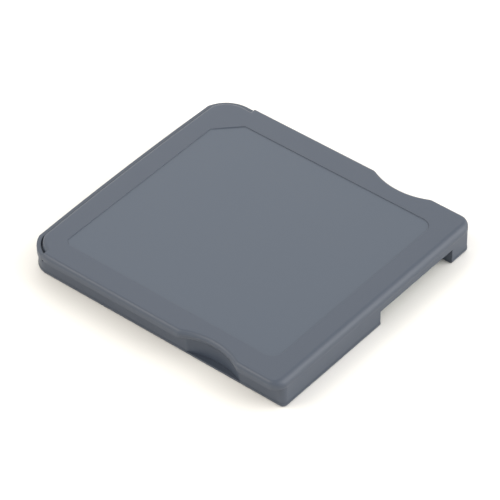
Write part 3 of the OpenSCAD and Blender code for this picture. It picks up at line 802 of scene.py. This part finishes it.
def label_outline(s, z):
    """The sunk label area: one bevelled, one nicked and two round corners."""
    left = -s.half_width + LABEL_LEFT
    right = s.half_width - LABEL_RIGHT
    low = -s.end_reach + LABEL_CONTACT
    high = s.end_reach - LABEL_OUTER
    line = Trace(left + LABEL_BEVEL, low, z)
    line.line(right - LABEL_NICK, low)
    line.line(right, low + LABEL_NICK)
    line.line(right, high - LABEL_CORNER)
    line.arc(right - LABEL_CORNER, high - LABEL_CORNER, RIGHT, ROUND_STEPS)
    line.line(left + LABEL_CORNER, high)
    line.arc(left + LABEL_CORNER, high - LABEL_CORNER, RIGHT, ROUND_STEPS)
    line.line(left, low + LABEL_BEVEL)
    return line


def flat_top(mesh):
    """The face that lies highest and looks up."""
    return max(mesh.faces, key=lambda f: (f.calc_center_median().z, f.calc_area()))


def hollow_notches(mesh, s):
    """Slopes the finger notches' walls inwards on their way down to the rear shell's hollows."""
    _, y, rise, _ = notch_measures(s)
    for point in mesh.verts:
        reach = 1 - ((point.co.y - y) / rise) ** 2
        low = point.co.z < s.thickness - s.flange / 2
        if reach > 0 and low and abs(point.co.x) > s.half_width / 2:
            point.co.x -= math.copysign(NOTCH_SLOPE * math.sqrt(reach), point.co.x)


def widen_outer_fillet(mesh, s):
    """Widens the top edge's fillet along the outer end, and lets it narrow round the corners."""
    widest = s.outer_fillet / s.edge_fillet
    inner_x = s.half_width - s.outer_corner
    inner_y = s.end_reach - s.outer_corner
    for point in mesh.verts:
        drop = s.thickness - point.co.z
        if point.co.y <= inner_y or drop > s.edge_fillet + TOUCH:
            continue
        centre = Vector((max(-inner_x, min(inner_x, point.co.x)), inner_y))
        spoke = point.co.xy - centre
        scale = 1 + (widest - 1) * (spoke.y / spoke.length) ** 2
        spoke *= (s.outer_corner - (s.outer_corner - spoke.length) * scale) / spoke.length
        point.co = (*(centre + spoke), s.thickness - drop * scale)


def front_plate(s):
    """The plate with its round edge and the sunk label area, as one closed mesh."""
    low = s.thickness - s.flange
    mesh = prism(both_sides(front_outline, s, low), s.flange)
    hollow_notches(mesh, s)
    round_edges(mesh, edges_at(mesh, s.thickness, border), s.edge_fillet, 8)
    close_up(mesh)
    widen_outer_fillet(mesh, s)
    round_edges(mesh, edges_at(mesh, low, border), ARRIS, 2)
    close_up(mesh)
    # The plate's top is filled anew between its round edge and the label area's edge
    bmesh.ops.delete(mesh, geom=[flat_top(mesh)], context="FACES_ONLY")
    sunk = label_outline(s, s.thickness).closed()
    raise_faces(sunk, sunk.faces[:], -s.label_depth)
    floor_edges = edges_at(sunk, s.thickness - s.label_depth)
    round_edges(sunk, floor_edges, LABEL_FILLET, 3)
    lid = [f for f in sunk.faces if all(abs(v.co.z - s.thickness) < TOUCH for v in f.verts)]
    bmesh.ops.delete(sunk, geom=lid, context="FACES_ONLY")
    take_in(mesh, sunk)
    open_edges = [e for e in edges_at(mesh, s.thickness) if e.is_boundary]
    bmesh.ops.triangle_fill(mesh, edges=open_edges, use_beauty=True, use_dissolve=True)
    close_up(mesh)
    arris = [e for e in edges_at(mesh, s.thickness, border)
             if any(f.calc_center_median().z < s.thickness - TOUCH and abs(f.normal.z) < 0.5
                    for f in e.link_faces)]
    round_edges(mesh, arris, ARRIS, 3)
    close_up(mesh)
    return mesh


def roof_outline(s, m, z, side):
    """One half of the room over the board."""
    centre, _, _, _ = notch_measures(s)
    half = centre - s.notch_radius - NOTCH_UNDERCUT - NOTCH_WALL - LIP_WIDTH
    low = m["room_contact"] + LIP_WIDTH
    corner = BODY_CORNER - s.wall - FIT
    line = Trace(0, low, z, side)
    line.line(half - corner, low)
    line.arc(half - corner, low + corner, RIGHT, ROUND_STEPS)
    line.line(half, m["room_outer"] - LIP_WIDTH)
    line.line(0, m["room_outer"] - LIP_WIDTH)
    return line


def hollow_front(shell, s, m):
    """Cuts the room over the board, then adds the lip and the pins that reach down."""
    roof = s.thickness - s.label_depth - ROOF_WALL
    outside = both_sides(room_outline, s, m, BOARD_HIGH.z, FIT)
    lip = to_object(prism(outside, m["seam"] + PAST - BOARD_HIGH.z), "lip")
    inside = both_sides(room_outline, s, m, BOARD_HIGH.z - PAST, LIP_WIDTH)
    cut(lip, prism(inside, 3 * PAST + s.flange))
    ring = bmesh.new()
    ring.from_mesh(lip.data)
    data = lip.data
    bpy.data.objects.remove(lip)
    bpy.data.meshes.remove(data)
    add(shell, ring)
    cut(shell, prism(both_sides(roof_outline, s, m, BOARD_HIGH.z), roof - BOARD_HIGH.z))
    for x, y in m["pins"]:
        pin = rod(x, y, s.floor + PIN_TIP_GAP, roof + PAST / 2, PIN / 2)
        round_edges(pin, edges_at(pin, s.floor + PIN_TIP_GAP, border), PIN_TIP_ROUND, 2)
        close_up(pin)
        add(shell, pin)


class CARTRIDGE_OT_front_shell(bpy.types.Operator):
    """Mould the front shell: plate, round edge, label area, lip and pins"""

    bl_idname = "cartridge.front_shell"
    bl_label = "Front shell"

    def execute(self, context):
        s = context.scene.cartridge_shells
        shell = to_object(front_plate(s), "front_shell_moulding")
        hollow_front(shell, s, rear_measures(s))
        shell.data.materials.append(FINISHES["shell"])
        shell.data.materials.append(FINISHES["label"])
        depth = s.thickness - s.label_depth
        for face in shell.data.polygons:
            if abs(face.center.z - depth) < 1e-6 and face.normal.z > 0.9:
                face.material_index = 1
        shade(shell)
        seat(shell, "shell_plastic", "front_shell")
        return {"FINISHED"}


def rear_measures(s):
    """Places that the rear shell's features share."""
    m = {}
    m["side"] = s.half_width - s.side_inset
    m["left"] = s.half_width - s.left_inset
    m["contact"] = -s.end_reach + CONTACT_INSET
    m["outer"] = s.end_reach - OUTER_INSET
    m["seam"] = s.thickness - s.flange
    m["room_side"] = m["side"] - s.wall
    m["room_contact"] = m["contact"] + s.wall
    m["room_outer"] = m["outer"] - s.wall
    m["board"] = BOARD_LOW.z
    m["shelf_side"] = m["room_side"] - SHELF
    m["window_end"] = m["room_contact"] + BOARD_GAP + CONTACT_LENGTH + FIT
    m["strip_end"] = m["window_end"] + s.wall
    m["slot_left"] = -m["left"] + SLOT_SIDE
    m["slot_inner"] = m["outer"] - SLOT_DEPTH
    pin_x = m["room_side"] - BOARD_GAP - PIN_FROM_SIDE
    m["pins"] = [
        (-pin_x, m["room_contact"] + BOARD_GAP + PIN_FROM_CONTACT),
        (pin_x, m["room_contact"] + BOARD_GAP + PIN_FROM_CONTACT),
        (pin_x, m["room_outer"] - BOARD_GAP - PIN_FROM_OUTER),
    ]
    return m


def foot_outline(s, m, side):
    """One half of the foot's edge."""
    half = (m["side"] if side > 0 else m["left"]) + FOOT_OUT
    high = m["outer"] + FOOT_OUT
    corner = BODY_CORNER + FOOT_OUT
    outer_corner = BODY_OUTER_CORNER + FOOT_OUT
    centre = half - corner, m["contact"] + BODY_CORNER
    line = trace_end(s, centre, corner, CONTACT_INSET - FOOT_OUT, RIGHT, 0, side)
    line.line(half, high - outer_corner)
    line.arc(half - outer_corner, high - outer_corner, RIGHT, 8)
    line.line(0, high)
    return line


def tray(s, m):
    """The rear shell's outside as one block, with its thin foot."""
    mesh = both_sides(foot_outline, s, m)
    top = raise_faces(mesh, mesh.faces[:], FOOT_HEIGHT)
    close_up(mesh)
    bmesh.ops.inset_region(mesh, faces=top, thickness=FOOT_OUT, use_even_offset=True)
    raise_faces(mesh, top, m["seam"] - FOOT_HEIGHT)
    close_up(mesh)
    round_edges(mesh, edges_at(mesh, 0.0, border), FOOT_ROUND, 4)
    return mesh


def rim_outline(s, z, side):
    """One half of the rim round the contact end, as a bent strip."""
    centre = corner_centre(s)
    end = rim_reach(s, side)
    inner = s.contact_corner - s.rim_width
    outer_turn = turn_to(end, centre, s.contact_corner)
    line = trace_end(s, centre, s.contact_corner, 0, outer_turn, z, side)
    turn = turn_to(end, centre, inner)
    if turn < RIGHT:
        line.line(centre[0] + inner * math.sin(turn), end)
    else:
        line.line(s.half_width, end)
        line.line(s.half_width - s.rim_width, end)
        line.line(s.half_width - s.rim_width, centre[1])
    start = bow_meets(s, centre, inner, s.rim_width)
    line.arc(*centre, start - turn, CORNER_STEPS)
    line.arc(0, bow_measures(s)[1], -bow_swing(s, centre, inner, start), BOW_STEPS)
    return line


def ledge_outline(s, m, z, side):
    """One half of the thin ledge that carries the rim."""
    centre = corner_centre(s)
    end = rim_reach(s, side)
    radius = s.contact_corner - s.rim_width / 2
    line = trace_end(s, centre, radius, s.rim_width / 2, turn_to(end, centre, radius), z, side)
    if end > centre[1]:
        line.line(s.half_width - s.rim_width / 2, end)
    line.line(m["room_side"], end)
    line.line(0, m["room_contact"] + s.wall)
    return line


def room_outline(s, m, z, inset, side):
    """One half of the room for the board, with a thicker wall behind the finger notch."""
    centre, y, rise, _ = notch_measures(s)
    bulge = centre - s.notch_radius - NOTCH_UNDERCUT - NOTCH_WALL - inset
    reach = rise + s.wall + inset
    corner = BODY_CORNER - s.wall - inset
    half = m["room_side"] - inset
    low = m["room_contact"] + inset
    high = m["room_outer"] - inset
    line = Trace(0, low, z, side)
    line.line(half - corner, low)
    line.arc(half - corner, low + corner, RIGHT, ROUND_STEPS)
    line.line(half, y - reach)
    line.line(bulge, y - reach)
    line.line(bulge, y + reach)
    line.line(half, y + reach)
    line.line(half, high)
    line.line(0, high)
    return line


def windows(s, m):
    """Cutters for the contact windows, with a slightly flared mouth."""
    mesh = block(
        (-WINDOW_WIDTH / 2, -s.end_reach - PAST, WINDOW_FLARE),
        (WINDOW_WIDTH / 2, m["window_end"], m["board"]))
    mouth = [f for f in mesh.faces if f.normal.z < -0.9]
    made = raise_faces(mesh, mouth, -WINDOW_FLARE)
    points = [v for f in made for v in f.verts]
    middle = sum((v.co for v in points), Vector()) / len(points)
    bmesh.ops.scale(
        mesh, verts=points, vec=(1 + 2 * WINDOW_FLARE / WINDOW_WIDTH, WINDOW_STRETCH, 1),
        space=Matrix.Translation(-middle))
    raise_faces(mesh, made, -PAST)
    close_up(mesh)
    one = mesh.verts[:] + mesh.edges[:] + mesh.faces[:]
    first = -(s.contacts - 1) / 2 * CONTACT_PITCH
    for i in range(1, s.contacts):
        copy = bmesh.ops.duplicate(mesh, geom=one)["geom"]
        points = [g for g in copy if isinstance(g, bmesh.types.BMVert)]
        bmesh.ops.translate(mesh, verts=points, vec=(i * CONTACT_PITCH, 0, 0))
    bmesh.ops.translate(mesh, verts=mesh.verts[:], vec=(first, 0, 0))
    return mesh


class CARTRIDGE_OT_rear_shell(bpy.types.Operator):
    """Mould the rear shell: tray, foot, rim, notches, windows and openings"""

    bl_idname = "cartridge.rear_shell"
    bl_label = "Rear shell"

    def execute(self, context):
        s = context.scene.cartridge_shells
        m = rear_measures(s)
        shell = to_object(tray(s, m), "rear_shell_moulding")
        ledge = m["seam"] - RIM_LEDGE
        add(shell, prism(both_sides(ledge_outline, s, m, ledge), RIM_LEDGE))
        rim = prism(both_sides(rim_outline, s, ledge), s.thickness - RIM_DROP - ledge)
        round_edges(rim, edges_at(rim, s.thickness - RIM_DROP, border), RIM_ROUND, 3)
        close_up(rim)
        add(shell, rim)
        # The room for the board, down to the shelves, then the deeper part
        cut(shell, prism(both_sides(room_outline, s, m, m["board"], 0.0), ROOM_HEIGHT))
        cut(shell, block((-m["shelf_side"], m["strip_end"], s.floor),
                         (m["shelf_side"], m["room_outer"], m["board"] + PAST)))
        boss = PIN + 2 * BOSS_WALL
        for x, y in m["pins"]:
            add(shell, rod(x, y, s.floor - PAST, m["board"], boss / 2))
        # Walls beside the memory card opening
        slot_right = m["slot_left"] + SLOT_WIDTH
        for low in (m["slot_left"] - s.wall, slot_right):
            add(shell, block((low, m["slot_inner"], s.floor - PAST),
                             (low + s.wall, m["room_outer"] + PAST, m["board"])))
        cut(shell, windows(s, m))
        cut(shell, block((m["slot_left"], m["slot_inner"], -PAST),
                         (slot_right, s.end_reach + PAST, SLOT_HEIGHT)))
        radius = s.notch_radius + NOTCH_UNDERCUT
        centre, y, _, _ = notch_measures(s)
        for side in (-1, 1):
            cut(shell, rod(side * centre, y, s.floor, s.thickness, radius, 160))
        for x, y in m["pins"]:
            cut(shell, rod(x, y, s.floor, m["board"] + PAST, PIN / 2 + FIT, 32))
        clean(shell)
        shell.data.materials.clear()
        shell.data.materials.append(FINISHES["shell"])
        shade(shell)
        seat(shell, "shell_plastic", "rear_shell")
        return {"FINISHED"}


# The stage


CAMERA_RIGHT = 0.156 * MM
CAMERA_UP = -0.545 * MM
FLOOR_COLOUR = 0.86, 0.845, 0.81, 1
FLOOR_DROP = 0.01 * MM


def add_camera(context, stage):
    """Puts the camera where the photo was taken from, looking at the card's middle."""
    a = stage.azimuth
    e = stage.elevation
    back = Vector((math.sin(a) * math.cos(e), -math.cos(a) * math.cos(e), math.sin(e)))
    right = Vector((math.cos(a), math.sin(a), 0))
    up = back.cross(right)
    turned_right = right * math.cos(stage.roll) + up * math.sin(stage.roll)
    turned_up = up * math.cos(stage.roll) - right * math.sin(stage.roll)
    middle = Vector((0, 0, CAD_HIGH.z / 2))
    place = (middle + back * stage.distance + turned_right * CAMERA_RIGHT
             + turned_up * CAMERA_UP)
    data = bpy.data.cameras.new("Camera")
    data.sensor_width = 36.0
    data.lens = stage.lens
    data.clip_start = 0.01
    data.clip_end = 20
    camera = bpy.data.objects.new("Camera", data)
    turn = Matrix((turned_right, turned_up, back)).transposed()
    camera.matrix_world = Matrix.Translation(place) @ turn.to_4x4()
    context.scene.collection.objects.link(camera)
    context.scene.camera = camera


def add_area_light(context, name, direction, distance, size, colour, power):
    """Hangs a round lamp that shines at the card."""
    data = bpy.data.lights.new(name, "AREA")
    data.shape = "DISK"
    data.size = size
    data.energy = power
    data.color = colour
    lamp = bpy.data.objects.new(name, data)
    direction = Vector(direction).normalized()
    lamp.location = direction * distance
    lamp.rotation_mode = "QUATERNION"
    lamp.rotation_quaternion = direction.to_track_quat("Z", "Y")
    context.scene.collection.objects.link(lamp)


# Name, direction from the card, distance and size in metres, and colour
LAMPS = (
    ("key", (-0.30, 0.75, 1.0), 0.6, 0.42, (1, 1, 1)),
    ("near", (0.51, -0.48, 0.72), 0.6, 0.40, (1, 0.92, 0.80)),
    ("outer", (-0.50, 0.72, 0.42), 0.6, 0.60, (1, 0.98, 0.96)),
    ("far", (-0.62, -0.58, 0.52), 0.22, 0.16, (1, 1, 1)),
)


def soft_sky(stage):
    """Even white light from all round, a little stronger from the sides."""
    world = bpy.data.worlds.new("Studio")
    world.use_nodes = True
    tree = world.node_tree
    sky = tree.nodes["Background"]
    sky.inputs["Color"].default_value = (1, 1, 1, 1)
    place = node(tree, "ShaderNodeTexCoord")
    axes = node(tree, "ShaderNodeSeparateXYZ")
    strength = node(tree, "ShaderNodeMapRange")
    strength.inputs["To Min"].default_value = stage.horizon
    strength.inputs["To Max"].default_value = stage.zenith
    tree.links.new(place.outputs["Generated"], axes.inputs[0])
    tree.links.new(axes.outputs["Z"], strength.inputs["Value"])
    tree.links.new(strength.outputs["Result"], sky.inputs["Strength"])
    return world


class CARTRIDGE_OT_stage(bpy.types.Operator):
    """Set the floor, the soft lights and the camera"""

    bl_idname = "cartridge.stage"
    bl_label = "Stage"

    def execute(self, context):
        stage = context.scene.cartridge_stage
        mesh = bmesh.new()
        bmesh.ops.create_grid(mesh, x_segments=2, y_segments=2, size=1.5)
        bmesh.ops.translate(mesh, verts=mesh.verts[:], vec=(0, 0, -FLOOR_DROP))
        floor = to_object(mesh, "floor")
        paper, surface = new_material("Pale floor")
        surface.inputs["Base Color"].default_value = FLOOR_COLOUR
        surface.inputs["Roughness"].default_value = 0.9
        surface.inputs["Specular IOR Level"].default_value = 0.1
        floor.data.materials.append(paper)
        for name, *place in LAMPS:
            add_area_light(context, name, *place, getattr(stage, name + "_power"))
        context.scene.world = soft_sky(stage)
        context.scene.view_settings.view_transform = "Standard"
        add_camera(context, stage)
        return {"FINISHED"}


class CARTRIDGE_PT_panel(bpy.types.Panel):
    """Lists the cartridge's pieces, sizes and finishes"""

    bl_idname = "CARTRIDGE_PT_panel"
    bl_label = "Flash Cartridge"
    bl_space_type = "VIEW_3D"
    bl_region_type = "UI"
    bl_category = "Cartridge"

    def draw(self, context):
        for name, groups in PROPERTIES.items():
            box = self.layout.box()
            for key in groups.__annotations__:
                box.prop(getattr(context.scene, name), key)
        for operator in OPERATORS:
            self.layout.operator(operator.bl_idname)


# The add-on


PROPERTIES = {
    "cartridge_shells": CartridgeShells,
    "cartridge_finish": CartridgeFinish,
    "cartridge_stage": CartridgeStage,
}
OPERATORS = (
    CARTRIDGE_OT_finishes,
    CARTRIDGE_OT_front_shell,
    CARTRIDGE_OT_rear_shell,
    CARTRIDGE_OT_stage,
)


def register():
    for kind in (*PROPERTIES.values(), *OPERATORS, CARTRIDGE_PT_panel):
        bpy.utils.register_class(kind)
    for name, kind in PROPERTIES.items():
        setattr(bpy.types.Scene, name, PointerProperty(type=kind))


def unregister():
    for name in PROPERTIES:
        delattr(bpy.types.Scene, name)
    for kind in reversed((*PROPERTIES.values(), *OPERATORS, CARTRIDGE_PT_panel)):
        bpy.utils.unregister_class(kind)


def main():
    """Registers the add-on, then makes the pieces and the stage in order."""
    register()
    for operator in OPERATORS:
        name = operator.bl_idname.split(".")[1]
        getattr(bpy.ops.cartridge, name)()


if __name__ == "__main__":
    main()
